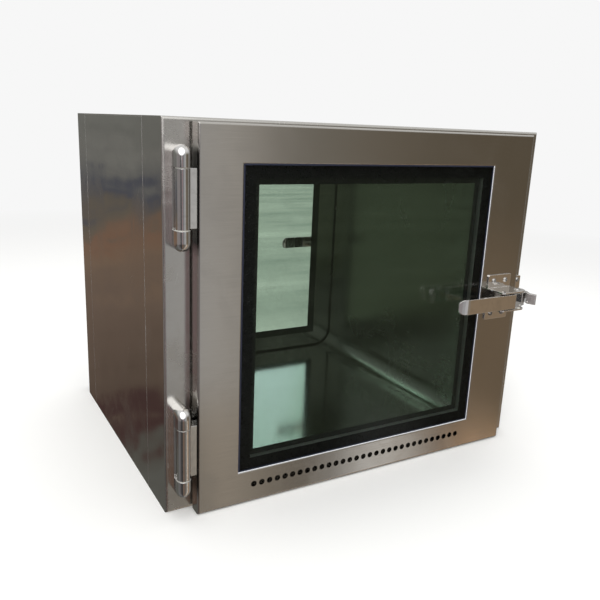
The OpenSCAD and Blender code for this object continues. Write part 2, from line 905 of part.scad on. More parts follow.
// The plate inside the door that the upper latch bracket's screws bite in
module latch_anchor() {
    translate([0, 0, latch_z])
        difference() {
            along_y(front_y + door_sheet, front_y + door_sheet + anchor_t)
                translate([bracket_x, screw_z])
                    rounded_rect(bracket_w, plate_h, corner_r);
            for (x = [-screw_pitch / 2, screw_pitch / 2])
                hole_y(bracket_x + x, screw_z, screw_d + 2 * pin_fit,
                    front_y, front_y + door_sheet + anchor_t + eps);
        }
}

// The screws that hold the latch brackets
module latch_screws() {
    for (x = [-screw_pitch / 2, screw_pitch / 2], z = [-screw_z, screw_z])
        translate([bracket_x + x, front_y - plate_t, latch_z + z])
            rotate([90, 0, 0])
                screw(screw_len);
}

// The pivot pin, headed at both ends
module latch_pin() {
    translate([pivot_x, pivot_y, latch_z])
        for (side = [0, 1])
            mirror([0, 0, side]) {
                cylinder(d = pivot_d, h = (ledge_span + pivot_head_h) / 2);
                translate([0, 0, ledge_span / 2])
                    cylinder(d1 = pivot_head_d, d2 = pivot_d, h = pivot_head_h);
            }
}

// The washers between the lever and the ledges
module latch_washers() {
    for (side = [0, 1])
        translate([pivot_x, pivot_y, latch_z])
            mirror([0, 0, side])
                translate([0, 0, lever_h / 2 + play])
                    difference() {
                        cylinder(d = 2 * flange_r - washer_step, h = washer_gap - play);
                        translate([0, 0, -eps])
                            cylinder(d = pivot_d + 2 * pin_fit, h = washer_gap + 2 * eps);
                    }
}

// The middle of the lever's sheet, seen from above, from its curled free end to its cam nose
function lever_points() = [
    for (u = [0 : 0.25 : 1])
        [free_x + curl_len * u, lever_y + curl_back * pow(1 - u, 2)],
    [pivot_x - crease_in, lever_y],
    [nose_x, pivot_y],
];

// The lever's face with rounded corners at its free end
module lever_face() {
    reach = nose_x + lever_t - free_x;
    intersection() {
        translate([0, 0, -lever_h / 2])
            linear_extrude(lever_h)
                strip(lever_points(), lever_t);
        along_y(lever_y - lever_t, front_y)
            translate([free_x - lever_t / 2, 0]) {
                translate([reach / 2, 0])
                    rounded_rect(reach, lever_h, tip_r);
                translate([tip_r, -lever_h / 2])
                    square([reach, lever_h]);
            }
    }
}

// One flange of the lever's channel, seen from above
module flange_outline() {
    polygon([
        [pivot_x - flange_len, lever_y],
        [pivot_x - crease_in, lever_y],
        [nose_x, pivot_y],
        [pivot_x, pivot_y + flange_r],
        [pivot_x - flange_len, lever_y + lever_t],
    ]);
    translate([pivot_x, pivot_y])
        circle(flange_r);
}

// The lever: a channel that turns on the pivot pin and ends in the cam nose
module lever() {
    translate([0, 0, latch_z])
        difference() {
            union() {
                lever_face();
                for (side = [0, 1])
                    mirror([0, 0, side])
                        translate([0, 0, lever_h / 2 - lever_t])
                            linear_extrude(lever_t)
                                flange_outline();
            }
            translate([pivot_x, pivot_y, -lever_h])
                cylinder(d = pivot_d + 2 * pin_fit, h = 2 * lever_h);
        }
}

// The strike: a plate on the cabinet's face, an arm beside the door, a catch and a lead-in lip
module strike() {
    plate_w = strike_end_x - strike_x;
    translate([0, 0, latch_z])
        difference() {
            union() {
                along_y(face_y - strike_t, face_y)
                    translate([strike_x + plate_w / 2, 0])
                        rounded_rect(plate_w, strike_h, corner_r);
                translate([0, 0, -arm_h / 2])
                    linear_extrude(arm_h)
                        strip([
                            [arm_x, face_y - arm_t / 2],
                            [arm_x, pivot_y + arm_bend],
                            [catch_x, catch_y],
                            [catch_x + lip_flare, catch_y - lip_out],
                        ], arm_t);
            }
            for (z = [-strike_pitch / 2, strike_pitch / 2])
                hole_y(strike_screw_x, z, screw_d + 2 * screw_fit,
                    face_y - strike_t - eps, face_y + eps);
        }
}

// The screws that hold the strike
module strike_screws() {
    for (z = [-strike_pitch / 2, strike_pitch / 2])
        translate([strike_screw_x, face_y - strike_t, latch_z + z])
            rotate([90, 0, 0])
                screw(screw_len);
}

// ---------------------------------------------------------------- front door, hinges and latch

module front_door_skin() {
    color(STEEL)
        door_skin();
}

module front_door_backing() {
    color(STEEL)
        door_backing();
}

module front_outer_pane() {
    color(GLASS)
        pane(outer_pane_y);
}

module front_inner_pane() {
    color(GLASS)
        pane(inner_pane_y);
}

module front_pane_spacer() {
    color(ALU)
        pane_spacer();
}

module front_edge_seal() {
    color(BLACK)
        edge_seal();
}

module front_glazing_bead() {
    color(BLACK)
        glazing_bead();
}

module front_door_seal() {
    color(BLACK)
        door_seal();
}

module front_upper_hinge_bracket() {
    color(CHROME)
        hinge_bracket(upper_hinge_z);
}

module front_lower_hinge_bracket() {
    color(CHROME)
        hinge_bracket(lower_hinge_z);
}

module front_upper_hinge_pin() {
    color(CHROME)
        hinge_pin(upper_hinge_z);
}

module front_lower_hinge_pin() {
    color(CHROME)
        hinge_pin(lower_hinge_z);
}

module front_upper_hinge_leaf() {
    color(CHROME)
        hinge_leaf(upper_hinge_z);
}

module front_lower_hinge_leaf() {
    color(CHROME)
        hinge_leaf(lower_hinge_z);
}

module front_hinge_washers() {
    color(NYLON)
        hinge_washers();
}

module front_bracket_screws() {
    color(CHROME)
        bracket_screws();
}

module front_leaf_screws() {
    color(CHROME)
        leaf_screws();
}

module front_latch_upper_bracket() {
    color(CHROME)
        latch_bracket();
}

module front_latch_lower_bracket() {
    color(CHROME)
        latch_below()
            latch_bracket();
}

module front_latch_screws() {
    color(CHROME)
        latch_screws();
}

module front_latch_anchors() {
    color(STEEL) {
        latch_anchor();
        latch_below()
            latch_anchor();
    }
}

module front_latch_pin() {
    color(CHROME)
        latch_pin();
}

module front_latch_washers() {
    color(NYLON)
        latch_washers();
}

module front_lever() {
    color(CHROME)
        lever();
}

module front_strike() {
    color(CHROME)
        strike();
}

module front_strike_screws() {
    color(CHROME)
        strike_screws();
}

// ---------------------------------------------------------------- rear door, hinges and latch

module rear_door_skin() {
    color(STEEL)
        at_rear()
            door_skin();
}

module rear_door_backing() {
    color(STEEL)
        at_rear()
            door_backing();
}

module rear_outer_pane() {
    color(GLASS)
        at_rear()
            pane(outer_pane_y);
}

module rear_inner_pane() {
    color(GLASS)
        at_rear()
            pane(inner_pane_y);
}

module rear_pane_spacer() {
    color(ALU)
        at_rear()
            pane_spacer();
}

module rear_edge_seal() {
    color(BLACK)
        at_rear()
            edge_seal();
}

module rear_glazing_bead() {
    color(BLACK)
        at_rear()
            glazing_bead();
}

module rear_door_seal() {
    color(BLACK)
        at_rear()
            door_seal();
}

module rear_upper_hinge_bracket() {
    color(CHROME)
        at_rear()
            hinge_bracket(upper_hinge_z);
}

module rear_lower_hinge_bracket() {
    color(CHROME)
        at_rear()
            hinge_bracket(lower_hinge_z);
}

module rear_upper_hinge_pin() {
    color(CHROME)
        at_rear()
            hinge_pin(upper_hinge_z);
}

module rear_lower_hinge_pin() {
    color(CHROME)
        at_rear()
            hinge_pin(lower_hinge_z);
}

module rear_upper_hinge_leaf() {
    color(CHROME)
        at_rear()
            hinge_leaf(upper_hinge_z);
}

module rear_lower_hinge_leaf() {
    color(CHROME)
        at_rear()
            hinge_leaf(lower_hinge_z);
}

module rear_hinge_washers() {
    color(NYLON)
        at_rear()
            hinge_washers();
}

module rear_bracket_screws() {
    color(CHROME)
        at_rear()
            bracket_screws();
}

module rear_leaf_screws() {
    color(CHROME)
        at_rear()
            leaf_screws();
}

module rear_latch_upper_bracket() {
    color(CHROME)
        at_rear()
            latch_bracket();
}

module rear_latch_lower_bracket() {
    color(CHROME)
        at_rear()
            latch_below()
                latch_bracket();
}

module rear_latch_screws() {
    color(CHROME)
        at_rear()
            latch_screws();
}

module rear_latch_anchors() {
    color(STEEL)
        at_rear() {
            latch_anchor();
            latch_below()
                latch_anchor();
        }
}

module rear_latch_pin() {
    color(CHROME)
        at_rear()
            latch_pin();
}

module rear_latch_washers() {
    color(NYLON)
        at_rear()
            latch_washers();
}

module rear_lever() {
    color(CHROME)
        at_rear()
            lever();
}

module rear_strike() {
    color(CHROME)
        at_rear()
            strike();
}

module rear_strike_screws() {
    color(CHROME)
        at_rear()
            strike_screws();
}

left_side_panel();
right_side_panel();
top_panel();
base_panel();
front_frame();
rear_frame();
chamber_liner();
floor_stiffeners();
front_door_skin();
front_door_backing();
front_outer_pane();
front_inner_pane();
front_pane_spacer();
front_edge_seal();
front_glazing_bead();
front_door_seal();
front_upper_hinge_bracket();
front_lower_hinge_bracket();
front_upper_hinge_pin();
front_lower_hinge_pin();
front_upper_hinge_leaf();
front_lower_hinge_leaf();
front_hinge_washers();
front_bracket_screws();
front_leaf_screws();
front_latch_upper_bracket();
front_latch_lower_bracket();
front_latch_screws();
front_latch_anchors();
front_latch_pin();
front_latch_washers();
front_lever();
front_strike();
front_strike_screws();
rear_door_skin();
rear_door_backing();
rear_outer_pane();
rear_inner_pane();
rear_pane_spacer();
rear_edge_seal();
rear_glazing_bead();
rear_door_seal();
rear_upper_hinge_bracket();
rear_lower_hinge_bracket();
rear_upper_hinge_pin();
rear_lower_hinge_pin();
rear_upper_hinge_leaf();
rear_lower_hinge_leaf();
rear_hinge_washers();
rear_bracket_screws();
rear_leaf_screws();
rear_latch_upper_bracket();
rear_latch_lower_bracket();
rear_latch_screws();
rear_latch_anchors();
rear_latch_pin();
rear_latch_washers();
rear_lever();
rear_strike();
rear_strike_screws();
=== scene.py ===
"""A stainless cleanroom pass box with a glazed, latched door at each end, in metres.

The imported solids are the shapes.  This script gives each of them its finish, and adds the floor,
the light and the camera.
"""
import json
import math

import bpy
import numpy as np
from mathutils import Matrix, Vector


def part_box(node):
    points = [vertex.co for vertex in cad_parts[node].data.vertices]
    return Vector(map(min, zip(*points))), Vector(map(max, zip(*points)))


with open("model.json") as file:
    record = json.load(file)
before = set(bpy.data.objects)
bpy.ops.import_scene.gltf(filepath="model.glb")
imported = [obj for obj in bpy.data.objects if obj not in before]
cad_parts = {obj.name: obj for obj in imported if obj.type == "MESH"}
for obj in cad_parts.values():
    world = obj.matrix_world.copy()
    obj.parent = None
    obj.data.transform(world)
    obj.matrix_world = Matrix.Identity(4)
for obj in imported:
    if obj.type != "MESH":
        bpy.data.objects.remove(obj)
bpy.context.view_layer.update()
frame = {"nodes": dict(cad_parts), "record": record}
NODES = frame["nodes"]

# ---------------------------------------------------------------- node helpers


class Graph:
    """A node tree with short calls: each makes a node, and most give its result."""

    def __init__(self, tree):
        self.tree = tree
        tree.nodes.clear()

    def add(self, kind, inputs=None, **settings):
        """A node of that kind; an input that is a socket is linked, and any other is a value."""
        node = self.tree.nodes.new(kind)
        for name, value in settings.items():
            setattr(node, name, value)
        for name, value in (inputs or {}).items():
            if isinstance(value, bpy.types.NodeSocket):
                self.tree.links.new(value, node.inputs[name])
            else:
                node.inputs[name].default_value = value
        return node

    def group(self, tree, inputs):
        """A shared effect, as its outputs."""
        return self.add("ShaderNodeGroup", inputs, node_tree=tree).outputs

    def math(self, operation, a, b=0.0):
        """The result of one sum on two values."""
        return self.add("ShaderNodeMath", {0: a, 1: b}, operation=operation).outputs[0]

    def plus(self, a, b):
        """One value and another."""
        return self.math("ADD", a, b)

    def minus(self, a, b):
        """One value less another."""
        return self.math("SUBTRACT", a, b)

    def times(self, a, b):
        """One value times another."""
        return self.math("MULTIPLY", a, b)

    def larger(self, a, b):
        """The larger of two values."""
        return self.math("MAXIMUM", a, b)

    def size(self, value):
        """The value without its sign."""
        return self.math("ABSOLUTE", value)

    def below(self, value, limit):
        """1 where the value is under the limit, and 0 elsewhere."""
        return self.math("LESS_THAN", value, limit)

    def above(self, value, limit):
        """1 where the value is over the limit, and 0 elsewhere."""
        return self.math("GREATER_THAN", value, limit)

    def apart(self, vector):
        """The X, Y and Z of a vector."""
        return self.add("ShaderNodeSeparateXYZ", {0: vector}).outputs

    def stretched(self, vector, shares):
        """The vector with each of X, Y and Z times its own share."""
        return self.add("ShaderNodeVectorMath", {0: vector, 1: shares}, operation="MULTIPLY").outputs[0]

    def dot(self, a, b):
        """How far two directions agree, 1 where they are the same."""
        return self.add("ShaderNodeVectorMath", {0: a, 1: b}, operation="DOT_PRODUCT").outputs["Value"]

    def mix(self, share, a, b):
        """Colour a where share is 0, and b where it is 1."""
        return self.add("ShaderNodeMix", {0: share, 6: a, 7: b}, data_type="RGBA").outputs[2]

    def spread(self, value, low, high, to_low, to_high):
        """The value carried from one range to another, and held inside it."""
        inputs = {"Value": value, "From Min": low, "From Max": high, "To Min": to_low, "To Max": to_high}
        return self.add("ShaderNodeMapRange", inputs).outputs["Result"]

    def bands(self, value, stops):
        """The colour that a value picks from a row of (place, colour) stops."""
        node = self.add("ShaderNodeValToRGB", {0: value})
        row = node.color_ramp.elements
        while len(row) < len(stops):
            row.new(0.5)
        for element, (place, tone) in zip(row, stops):
            element.position = place
            element.color = tone
        return node.outputs[0]

    def noise(self, at, scale, detail, roughness=0.5, distortion=0.0):
        """Cloudy noise around one half, at a place."""
        return self.add("ShaderNodeTexNoise", {"Vector": at, "Scale": scale, "Detail": detail,
                                               "Roughness": roughness,
                                               "Distortion": distortion}).outputs["Fac"]

    def bump(self, height, strength, distance, normal=None):
        """The normal bent by a height, on top of another normal where one is given."""
        inputs = {"Height": height, "Strength": strength, "Distance": distance}
        if normal is not None:
            inputs["Normal"] = normal
        return self.add("ShaderNodeBump", inputs).outputs[0]

    def surface(self, sockets):
        """The material's surface: a Principled shader with those sockets."""
        shader = self.add("ShaderNodeBsdfPrincipled", sockets)
        self.add("ShaderNodeOutputMaterial", {"Surface": shader.outputs[0]})


def colour(red, green, blue):
    """A plain colour as four numbers."""
    return (red, green, blue, 1.0)


def darker(tone, share):
    """The colour times a share."""
    return colour(*(share * part for part in tone[:3]))


BLACK = colour(0.0, 0.0, 0.0)

# ---------------------------------------------------------------- shared effects

FLOAT = "NodeSocketFloat"
VECTOR = "NodeSocketVector"
LEVEL_FROM = 0.7                           # the upward share of a normal that makes a face level


def new_group(name, inputs, outputs):
    """An empty group with sockets of the given kinds, as (group, graph, what it is given)."""
    tree = bpy.data.node_groups.new(name, "ShaderNodeTree")
    for direction, sockets in (("INPUT", inputs), ("OUTPUT", outputs)):
        for label, kind in sockets.items():
            tree.interface.new_socket(name=label, in_out=direction, socket_type=kind)
    graph = Graph(tree)
    return tree, graph, graph.add("NodeGroupInput").outputs


def brushed_grain():
    """Fine lines rubbed into the sheet: noise drawn out along the way that the belt ran.

    Standing and level faces each have their own stretch.  Out come the lines' height and a slower
    patchiness, both around one half.
    """
    tree, g, given = new_group(
        "brushed_grain",
        {"Position": VECTOR, "Facing": VECTOR, "Standing": VECTOR, "Level": VECTOR, "Fineness": FLOAT},
        {"Lines": FLOAT, "Patches": FLOAT})
    is_level = g.above(g.size(g.apart(given["Facing"])["Z"]), LEVEL_FROM)
    stretch = g.add("ShaderNodeMix", {0: is_level, 4: given["Standing"], 5: given["Level"]},
                    data_type="VECTOR").outputs[1]
    lines = g.noise(g.stretched(given["Position"], stretch), given["Fineness"], 3.0, roughness=0.6)
    patches = g.noise(given["Position"], 6.0, 4.0)
    g.add("NodeGroupOutput", {"Lines": lines, "Patches": patches})
    return tree


def smudges():
    """Wiped and fingered patches: a warped slow noise, cut to soft islands between 0 and 1."""
    tree, g, given = new_group("smudges", {"Position": VECTOR, "Size": FLOAT}, {"Mask": FLOAT})
    scale = g.math("DIVIDE", 1.0, given["Size"])
    noise = g.noise(given["Position"], scale, 5.0, roughness=0.62, distortion=1.4)
    g.add("NodeGroupOutput", {"Mask": g.spread(noise, 0.48, 0.72, 0.0, 1.0)})
    return tree


def scratches():
    """Sparse wiping scratches: thin arcs round scattered centres, kept only in patches, 0 to 1.

    The distance to the nearest centre, counted in rings, gives a line wherever it passes half a
    ring; two noises cut the rings to short arcs.
    """
    tree, g, given = new_group("scratches", {"Position": VECTOR, "Centres": FLOAT, "Rings": FLOAT},
                               {"Mask": FLOAT})
    centres = g.add("ShaderNodeTexVoronoi", {"Vector": given["Position"], "Scale": given["Centres"]})
    ring = g.math("FRACT", g.times(centres.outputs["Distance"], given["Rings"]))
    line = g.spread(g.size(g.minus(ring, 0.5)), 0.0, 0.05, 1.0, 0.0)
    patch = g.spread(g.noise(given["Position"], 9.0, 2.0), 0.50, 0.62, 0.0, 1.0)
    broken = g.spread(g.noise(given["Position"], 60.0, 2.0), 0.46, 0.60, 0.0, 1.0)
    g.add("NodeGroupOutput", {"Mask": g.times(line, g.times(patch, broken))})
    return tree


GRAIN = brushed_grain()
SMUDGE = smudges()
SCRATCH = scratches()

# ---------------------------------------------------------------- steel

ACROSS = (0.012, 0.012, 1.0)               # grain that runs level on standing faces
ALONG_X = (0.012, 1.0, 1.0)
ALONG_Y = (1.0, 0.012, 1.0)
EDGE_SAMPLES = 4
GLOSS_SWING = 0.07                         # how far a full streak moves the roughness
# Bright tone of worn wiping scratches, and of the painted highlight along the seams.
WEAR_AND_HIGHLIGHT_TONE = colour(0.92, 0.91, 0.89)
WEAR_AND_HIGHLIGHT_DULL = 0.35
WAVE_SCALE = 5.0
WAVE_HEIGHT = 0.02

# The seams between the panels and the front and rear frames, by their Y; each carries a painted
# highlight line.
SEAM_DEPTHS = (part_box("front_frame")[1][1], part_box("rear_frame")[0][1])
SEAM_CORE = 0.0008
SEAM_REACH = 0.0022
SEAM_HIGHLIGHT = 0.6

# The doors are each other's mirror image, so the front door's skin places the near-black painted shade
# on both: inside the vent holes and beside the hinges.
SKIN_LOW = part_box("front_door_skin")[0]
PAINTED_SHADE = colour(0.02, 0.02, 0.018)
SHADED_FROM = -SKIN_LOW[1] - 0.0003         # vent holes get painted shade where the size of Y is under this
VENT_HEIGHT = SKIN_LOW[2] + 0.0285
VENT_HALF = 0.0062
VENT_REACH = 0.224
FLANK = SKIN_LOW[0] + 0.002                # the doors' hinge edges lie below this X
# how far the near-black painted shade covers the flank beside the hinges, at most
HINGE_SHADE = 0.92


def new_material(name):
    """An empty material, as (material, graph, its coordinates)."""
    material = bpy.data.materials.new(name)
    material.use_nodes = True
    graph = Graph(material.node_tree)
    return material, graph, graph.add("ShaderNodeTexCoord").outputs


def wear_and_seam_highlight(g, at, hair, seams):
    """Where the sheet is bright, 0 to 1: worn in wiping scratches, and a painted highlight along the
    seams' edges.
    """
    hairs = g.group(SCRATCH, {"Position": at["Object"], "Centres": 5.0, "Rings": 26.0})
    worn = g.times(hairs["Mask"], hair)
    depth = g.apart(at["Object"])["Y"]
    # Each seam gets a painted highlight line, strongest at its core.
    for seam in seams:
        away = g.size(g.minus(depth, seam))
        worn = g.larger(worn, g.spread(away, SEAM_CORE, SEAM_REACH, SEAM_HIGHLIGHT, 0.0))
    return worn


def vent_row(g, at):
    """1 in the band of a door's vent holes, and 0 elsewhere."""
    place = g.apart(at["Object"])
    in_height = g.below(g.size(g.minus(place["Z"], VENT_HEIGHT)), VENT_HALF)
    return g.times(in_height, g.below(g.size(place["X"]), VENT_REACH))


def door_painted_shade(g, at):
    """Where a door's skin is painted with shade, 0 to 1: inside the vent holes and beside the hinges."""
    place = g.apart(at["Object"])
    shade_mask = g.times(g.below(g.size(place["Y"]), SHADED_FROM), vent_row(g, at))
    on_flank = g.below(place["X"], FLANK)
    for bracket in ("front_upper_hinge_bracket", "front_lower_hinge_bracket"):
        foot, top = (corner[2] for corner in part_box(bracket))
        half = (top - foot) / 2.0
        away = g.size(g.minus(place["Z"], (foot + top) / 2.0))
        beside = g.spread(away, half - 0.012, half + 0.010, HINGE_SHADE, 0.0)
        shade_mask = g.larger(shade_mask, g.times(on_flank, beside))
    return shade_mask


def brushed_steel(name, light, dark, *, roughness, fineness, depth, smudge_size, standing=ACROSS,
                  level=ALONG_X, wave=0.0, edge=0.0012, streak=0.25, front_dull=0.0, side_dull=0.0,
                  wipe=0.05, hair=0.0, seams=(), is_door=False):
    """Rubbed stainless sheet: line grain in colour, gloss and relief, smudges, softened edges.

    A wave above 0 adds the slow unevenness of thin sheet, which bends what it mirrors.  Faces
    toward the doors are duller by front_dull, and those toward the sides by side_dull.  wipe is
    how far smudges dull the sheet, and hair the strength of wiping scratches, which are worn
    bright.  Along the seams' edges a painted highlight makes a bright, duller line.  A door has
    near-black painted shade inside its vent holes, whose edges stay sharp, and beside its hinges.
    """
    material, g, at = new_material(name)
    grain = g.group(GRAIN, {"Position": at["Object"], "Facing": at["Normal"],
                            "Standing": standing, "Level": level, "Fineness": fineness})
    marks = g.group(SMUDGE, {"Position": at["Object"], "Size": smudge_size})
    faces = g.apart(at["Normal"])
    to_door = g.spread(g.size(faces["Y"]), 0.5, 0.9, 0.0, 1.0)
    to_side = g.spread(g.size(faces["X"]), 0.1, 0.7, 0.0, 1.0)
    worn = wear_and_seam_highlight(g, at, hair, seams)

    tone = g.mix(grain["Patches"], dark, light)
    tone = g.mix(g.spread(grain["Lines"], 0.3, 0.7, 0.0, streak), tone, dark)
    # Worn wiping scratches and the seams' painted highlight lighten the sheet.
    tone = g.mix(worn, tone, WEAR_AND_HIGHLIGHT_TONE)
    radius = edge
    # Painted shade: a door's skin goes near black inside its vent holes and beside its hinges.
    if is_door:
        tone = g.mix(door_painted_shade(g, at), tone, PAINTED_SHADE)
        radius = g.times(g.minus(1.0, vent_row(g, at)), edge)

    swing = GLOSS_SWING * streak
    gloss = g.spread(grain["Lines"], 0.3, 0.7, roughness - swing, roughness + swing)
    gloss = g.plus(gloss, g.times(marks["Mask"], wipe))
    gloss = g.plus(gloss, g.plus(g.times(to_door, front_dull), g.times(to_side, side_dull)))
    gloss = g.plus(gloss, g.times(worn, WEAR_AND_HIGHLIGHT_DULL))

    soft_edge = g.add("ShaderNodeBevel", {"Radius": radius}, samples=EDGE_SAMPLES).outputs[0]
    rise = g.times(g.noise(at["Object"], WAVE_SCALE, 1.0), g.minus(1.0, to_door))
    bent = g.bump(rise, wave, WAVE_HEIGHT, soft_edge)
    relief = g.bump(grain["Lines"], 0.10, depth, bent)
    g.surface({"Base Color": tone, "Metallic": 1.0, "Roughness": gloss, "Normal": relief})
    return material


def polished_steel(name, light, roughness):
    """Buffed steel: nearly a mirror, with faint buffing waves, fine hairlines and finger marks."""
    material, g, at = new_material(name)
    marks = g.group(SMUDGE, {"Position": at["Object"], "Size": 0.02})
    waves = g.noise(at["Object"], 90.0, 2.0)
    hair = g.noise(at["Object"], 2400.0, 2.0)
    gloss = g.plus(g.times(marks["Mask"], 0.05),
                   g.spread(hair, 0.3, 0.7, roughness, roughness + 0.03))
    soft_edge = g.add("ShaderNodeBevel", {"Radius": 0.0012}, samples=EDGE_SAMPLES).outputs[0]
    g.surface({"Base Color": g.mix(marks["Mask"], light, darker(light, 0.90)), "Metallic": 1.0,
               "Roughness": gloss, "Normal": g.bump(waves, 0.08, 0.0004, soft_edge)})
    return material


# ---------------------------------------------------------------- glass, rubber and the bead

LIP_HIGHLIGHT = 0.0013                               # width of the painted highlight line on the glazing bead


def green_glass(name, tint):
    """Toughened glass: a green body colour with wiped marks, and clear to light and shadow."""
    material, g, at = new_material(name)
    marks = g.group(SMUDGE, {"Position": at["Object"], "Size": 0.09})
    stain = g.mix(marks["Mask"], tint, darker(tint, 0.97))
    body = g.add("ShaderNodeBsdfPrincipled", {"Base Color": stain, "Metallic": 0.0, "Roughness": 0.0,
                                              "IOR": 1.5, "Transmission Weight": 1.0})
    clear = g.add("ShaderNodeBsdfTransparent", {"Color": tint})
    ray = g.add("ShaderNodeLightPath").outputs
    soft_ray = g.larger(ray["Is Shadow Ray"], ray["Is Diffuse Ray"])
    both = g.add("ShaderNodeMixShader", {0: soft_ray, 1: body.outputs[0], 2: clear.outputs[0]})
    g.add("ShaderNodeOutputMaterial", {"Surface": both.outputs[0]})
    return material


def dull_solid(name, base, worn, roughness, grain_scale, relief_depth):
    """Rubber, sealant or nylon: a speckled tone, uneven gloss and a fine skin."""
    material, g, at = new_material(name)
    speck = g.noise(at["Object"], grain_scale, 4.0)
    marks = g.group(SMUDGE, {"Position": at["Object"], "Size": 0.03})
    g.surface({"Base Color": g.mix(g.times(marks["Mask"], 0.6), base, worn),
               "Roughness": g.spread(speck, 0.3, 0.7, roughness - 0.06, roughness + 0.08),
               "Normal": g.bump(speck, 0.25, relief_depth)})
    return material


def glazing_bead(name, low, high, far_is_high):
    """Dark blue-black glazing bead, with a painted highlight at its foot and far side: the sheet's
    turned edge, bright where it catches light.

    low and high are the corners of the bead's box, and the far side is at high or at low X.
    """
    material, g, at = new_material(name)
    place = g.apart(at["Object"])
    speck = g.noise(at["Object"], 500.0, 3.0)
    foot = g.below(place["Z"], low[2] + LIP_HIGHLIGHT)
    if far_is_high:
        far = g.above(place["X"], high[0] - LIP_HIGHLIGHT)
    else:
        far = g.below(place["X"], low[0] + LIP_HIGHLIGHT)
    # Painted highlight: only the foot and far side are painted as bright steel, as if lit there.
    lip_highlight = g.larger(foot, far)
    black = g.mix(speck, colour(0.010, 0.014, 0.034), colour(0.018, 0.022, 0.042))
    bright = g.mix(speck, colour(0.80, 0.83, 0.90), colour(0.95, 0.96, 1.0))
    g.surface({"Base Color": g.mix(lip_highlight, black, bright),
               "Metallic": g.times(lip_highlight, 0.2),
               "Roughness": g.plus(g.spread(speck, 0.3, 0.7, 0.30, 0.40), g.times(lip_highlight, 0.25)),
               "Normal": g.bump(speck, 0.2, 0.00004)})
    return material


# ---------------------------------------------------------------- which piece has which finish

FINISHES = {
    "brushed_sheet": brushed_steel(
        "door_sheet", colour(0.63, 0.61, 0.58), colour(0.52, 0.50, 0.47), roughness=0.14,
        fineness=900.0, depth=0.00005, smudge_size=0.11, edge=0.0014, streak=0.36, hair=0.22,
        is_door=True),
    "chamber_sheet": brushed_steel(
        "chamber_sheet", colour(0.60, 0.62, 0.58), colour(0.50, 0.52, 0.48), roughness=0.12,
        fineness=700.0, depth=0.000008, smudge_size=0.16, standing=ALONG_Y, level=ALONG_Y,
        streak=0.12, side_dull=0.12),
    "glass": green_glass("glass", colour(0.92, 0.965, 0.93)),
    "spacer": brushed_steel(
        "spacer", colour(0.60, 0.64, 0.61), colour(0.50, 0.53, 0.51), roughness=0.38,
        fineness=1200.0, depth=0.00006, smudge_size=0.05),
    "glazing_black": dull_solid(
        "glazing_black", colour(0.004, 0.004, 0.004), colour(0.008, 0.008, 0.008), roughness=0.30,
        grain_scale=700.0, relief_depth=0.00003),
    "door_rubber": dull_solid(
        "door_rubber", colour(0.010, 0.010, 0.010), colour(0.024, 0.023, 0.022), roughness=0.60,
        grain_scale=1100.0, relief_depth=0.00010),
    "polished_steel": polished_steel("polished_steel", colour(0.75, 0.74, 0.73), 0.045),
    "fastener": polished_steel("fastener", colour(0.40, 0.39, 0.375), 0.10),
    "washer_plastic": dull_solid(
        "washer_plastic", colour(0.58, 0.57, 0.52), colour(0.44, 0.43, 0.38), roughness=0.48,
        grain_scale=900.0, relief_depth=0.00006),
}
CABINET_SHEET = brushed_steel(
    "cabinet_sheet", colour(0.66, 0.65, 0.62), colour(0.57, 0.55, 0.52), roughness=0.07,
    fineness=900.0, depth=0.00001, smudge_size=0.14, wave=0.16, front_dull=0.11, wipe=0.20,
    hair=0.40, seams=SEAM_DEPTHS)
# A lighter copy of the polished steel for the latch pieces: painted light, brighter than the same steel
# on the hinges.
LIT_LATCH_STEEL = polished_steel("latch_steel_painted_lighter", colour(0.95, 0.93, 0.91), 0.045)


def own_finishes():
    """The finishes of the nodes that don't take their slot's finish, by node."""
    own = {}
    for end, far_is_high in (("front", True), ("rear", False)):
        bead = end + "_glazing_bead"
        own[bead] = glazing_bead(bead, *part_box(bead), far_is_high)
        for piece in ("lever", "strike", "latch_upper_bracket", "latch_lower_bracket"):
            own[end + "_" + piece] = LIT_LATCH_STEEL
        own[end + "_frame"] = CABINET_SHEET
    for panel in ("left_side_panel", "right_side_panel", "top_panel", "base_panel"):
        own[panel] = CABINET_SHEET
    return own


def finish_nodes():
    """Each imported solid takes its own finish, or the one of the slot that the record names."""
    own = own_finishes()
    for entry in frame["record"]["subparts"]:
        finish = own.get(entry["node"], FINISHES[entry["material_slot"]])
        materials = NODES[entry["node"]].data.materials
        materials.clear()
        materials.append(finish)


finish_nodes()

# ---------------------------------------------------------------- floor

FLOOR_REACH = 14.0
FLOOR_CELLS = 8
BACKDROP = colour(0.93, 0.93, 0.93)
FLOOR_TONE = colour(0.88, 0.88, 0.875)
STREAK_STRETCH = (0.7, 2.6, 1.0)
# What the floor glows with through glass, instead of being lit: painted shade, and painted light on the
# latch side behind the box.
SHADY_GROUND = (colour(0.050, 0.056, 0.036), colour(0.105, 0.120, 0.084))
LIT_GROUND = (colour(0.33, 0.385, 0.335), colour(0.58, 0.63, 0.56))


def floor_mesh():
    """A square grid at height 0, worked out as whole arrays from its side's even steps."""
    side = np.linspace(-FLOOR_REACH, FLOOR_REACH, FLOOR_CELLS + 1)
    x, y = np.meshgrid(side, side)
    points = np.column_stack([x.ravel(), y.ravel(), np.zeros(x.size)])
    row = FLOOR_CELLS + 1
    corner = (np.arange(FLOOR_CELLS)[:, None] * row + np.arange(FLOOR_CELLS)).ravel()
    faces = np.column_stack([corner, corner + 1, corner + row + 1, corner + row])
    mesh = bpy.data.meshes.new("floor")
    mesh.from_pydata(points.tolist(), [], faces.tolist())
    return mesh


